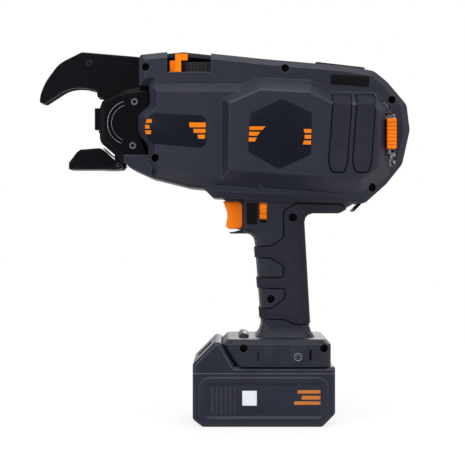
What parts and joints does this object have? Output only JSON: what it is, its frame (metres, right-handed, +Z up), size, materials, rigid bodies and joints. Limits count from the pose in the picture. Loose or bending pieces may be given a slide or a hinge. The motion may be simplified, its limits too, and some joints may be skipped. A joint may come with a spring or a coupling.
{
  "type": "rebar tying tool",
  "caption": "Cordless hand-held tool with hooked jaws, twist hooks, a wire reel and a slide-on battery that wraps steel wire round crossed bars and twists it tight.",
  "frame": {"origin": "middle of the battery's flat bottom, on which the tool stands", "axes": "-X towards the jaws, -Y the left side shown in the picture, +Z up"},
  "size_m": [0.2908, 0.0936, 0.2921],
  "materials": {
    "housing_plastic": "moulded, fine texture, charcoal",
    "black_plastic": "moulded, black",
    "grip_rubber": "soft overmould, dark",
    "black_steel": "black oxide",
    "bright_steel": "bright",
    "grey_steel": "ground",
    "orange_plastic": "moulded, orange",
    "grey_plastic": "moulded, grey",
    "reel_plastic": "moulded, off-white",
    "tie_wire": "annealed steel wire",
    "board_green": "solder mask",
    "contact_brass": "plated",
    "cell_wrap": "shrink-wrapped",
    "lens_green": "clear tinted"
  },
  "bodies": {
    "tool": {"housing_left": "housing_plastic", "housing_right": "housing_plastic", "grip_pad_left": "grip_rubber", "grip_pad_right": "grip_rubber", "bumper_pads": "grip_rubber", "housing_screws": "black_steel", "strap_bar": "black_steel", "head_case": "housing_plastic", "head_plate_left": "black_steel", "head_plate_right": "black_steel", "head_plate_screws": "bright_steel", "contact_block": "black_plastic", "upper_jaw_left": "black_steel", "upper_jaw_right": "black_steel", "curl_guide": "grey_steel", "jaw_screw": "black_steel", "lower_jaw_pin": "bright_steel", "lower_jaw_spring": "bright_steel", "twist_motor": "grey_steel", "gearbox_case": "grey_steel", "thrust_bearing": "bright_steel", "feed_motor": "grey_steel", "lever_pin": "bright_steel", "wire_guide_tube": "bright_steel", "reel_axle": "bright_steel", "latch_strip": "bright_steel", "latch_spring": "bright_steel", "cover_hinge_pin": "bright_steel", "trigger_switch": "black_plastic", "trigger_spring": "bright_steel", "control_panel": "black_plastic", "indicator_lens": "lens_green", "control_board": "board_green", "terminal_block": "black_plastic", "terminal_blades": "contact_brass"},
    "lower_jaw_group": {"lower_jaw": "black_steel", "lower_jaw_lip": "bright_steel"},
    "twist_spindle": {"hook_shaft": "bright_steel"},
    "hook_carrier": {"hook_sleeve": "grey_steel", "twist_hooks": "grey_steel"},
    "feed_roller": {"feed_wheel": "grey_steel"},
    "press_roller": {"press_wheel": "grey_steel"},
    "press_lever": {"release_lever": "black_plastic"},
    "lever_stopper": {"release_stopper": "orange_plastic"},
    "wire_reel": {"reel_spool": "reel_plastic", "wire_winding": "tie_wire"},
    "reel_lock": {"reel_latch": "orange_plastic"},
    "reel_door": {"reel_cover": "housing_plastic", "cover_pads": "grip_rubber"},
    "trigger_key": {"trigger": "orange_plastic"},
    "trigger_lock": {"lock_slider": "orange_plastic"},
    "power_key": {"power_button": "orange_plastic"},
    "mode_key": {"mode_button": "grey_plastic"},
    "battery": {"battery_case_bottom": "housing_plastic", "battery_case_top": "housing_plastic", "battery_cells": "cell_wrap", "cell_holders": "black_plastic", "battery_board": "board_green", "battery_latch_spring": "bright_steel"},
    "battery_key": {"battery_latch": "black_plastic"}
  },
  "joints": [
    {"name": "lower_jaw_open", "type": "hinge", "parent": "tool", "child": "lower_jaw_group", "pos_m": [-0.1135, 0, 0.2023], "axis": [0, -1, 0], "range_deg": [0, 35], "stiffness_Nm_per_rad": 0.2, "springref_deg": -22.92, "deforming": ["lower_jaw_spring"]},
    {"name": "twist_spin", "type": "hinge", "parent": "tool", "child": "twist_spindle", "pos_m": [-0.107, 0, 0.2345], "axis": [1, 0, 0], "continuous": true},
    {"name": "hook_advance", "type": "slide", "parent": "twist_spindle", "child": "hook_carrier", "axis": [-1, 0, 0], "range_m": [0, 0.012]},
    {"name": "feed_spin", "type": "hinge", "parent": "tool", "child": "feed_roller", "pos_m": [-0.056, 0, 0.262], "axis": [0, 1, 0], "continuous": true},
    {"name": "press_lift", "type": "hinge", "parent": "tool", "child": "press_lever", "pos_m": [-0.036, 0, 0.28], "axis": [0, 1, 0], "range_deg": [0, 5], "stiffness_Nm_per_rad": 0.5, "springref_deg": -17.19},
    {"name": "press_spin", "type": "hinge", "parent": "press_lever", "child": "press_roller", "pos_m": [-0.056, 0, 0.2784], "axis": [0, 1, 0], "continuous": true},
    {"name": "stopper_slide", "type": "slide", "parent": "tool", "child": "lever_stopper", "axis": [1, 0, 0], "range_m": [0, 0.004]},
    {"name": "reel_spin", "type": "hinge", "parent": "tool", "child": "wire_reel", "pos_m": [0.05, 0, 0.224], "axis": [0, 1, 0], "continuous": true},
    {"name": "reel_latch_slide", "type": "slide", "parent": "tool", "child": "reel_lock", "axis": [0, 0, -1], "range_m": [0, 0.005], "stiffness_N_per_m": 300, "springref_m": -0.004, "deforming": ["latch_spring"]},
    {"name": "reel_door_swing", "type": "hinge", "parent": "tool", "child": "reel_door", "pos_m": [0.019, 0.031, 0.1795], "axis": [-1, 0, 0], "range_deg": [0, 100]},
    {"name": "trigger_pull", "type": "slide", "parent": "tool", "child": "trigger_key", "axis": [1, 0, 0], "range_m": [0, 0.0055], "stiffness_N_per_m": 500, "springref_m": -0.003, "deforming": ["trigger_spring"]},
    {"name": "trigger_lock_slide", "type": "slide", "parent": "tool", "child": "trigger_lock", "axis": [0, 0, -1], "range_m": [0, 0.0022]},
    {"name": "power_press", "type": "slide", "parent": "tool", "child": "power_key", "axis": [0, 0, -1], "range_m": [0, 0.0008], "stiffness_N_per_m": 900, "springref_m": -0.0008},
    {"name": "mode_press", "type": "slide", "parent": "tool", "child": "mode_key", "axis": [0, 0, -1], "range_m": [0, 0.0008], "stiffness_N_per_m": 900, "springref_m": -0.0008},
    {"name": "battery_slide", "type": "slide", "parent": "tool", "child": "battery", "axis": [-1, 0, 0], "range_m": [0, 0.1]},
    {"name": "battery_release", "type": "slide", "parent": "battery", "child": "battery_key", "axis": [0.7071, 0, -0.7071], "range_m": [0, 0.0024], "stiffness_N_per_m": 900, "springref_m": -0.002, "deforming": ["battery_latch_spring"]}
  ],
  "couplings": [
    {"joint": "press_spin", "follows": "feed_spin", "ratio": -1.2941}
  ]
}
